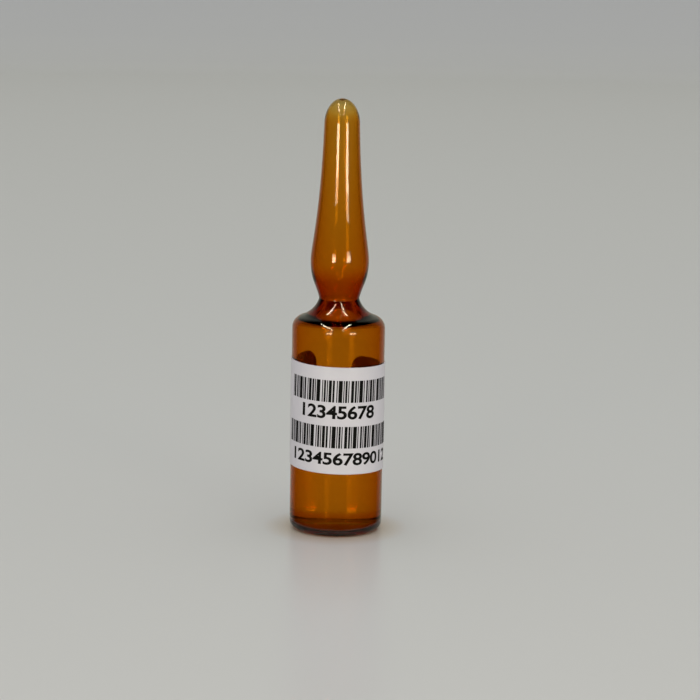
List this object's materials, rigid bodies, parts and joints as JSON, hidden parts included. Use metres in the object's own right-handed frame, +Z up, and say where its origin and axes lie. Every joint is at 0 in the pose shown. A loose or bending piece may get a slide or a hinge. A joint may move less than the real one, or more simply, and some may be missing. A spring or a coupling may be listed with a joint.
{
  "type": "glass ampoule",
  "caption": "Sealed amber glass ampoule with a rounded shoulder, pinched neck, bulb and long drawn tip, filled with solution and wrapped in a paper label.",
  "frame": {"origin": "centre of the base, on the surface it stands on", "axes": "+Z up the ampoule's own axis towards the sealed tip, -Y towards the front, where the middle of the label is"},
  "size_m": [0.011, 0.0109, 0.0502],
  "materials": {
    "amber_glass": "fire-polished, smooth, transparent amber",
    "clear_solution": "clear liquid",
    "label_paper": "smooth coated label paper"
  },
  "bodies": {
    "root": {"glass_ampoule": "amber_glass", "solution": "clear_solution", "label": "label_paper"}
  },
  "joints": []
}
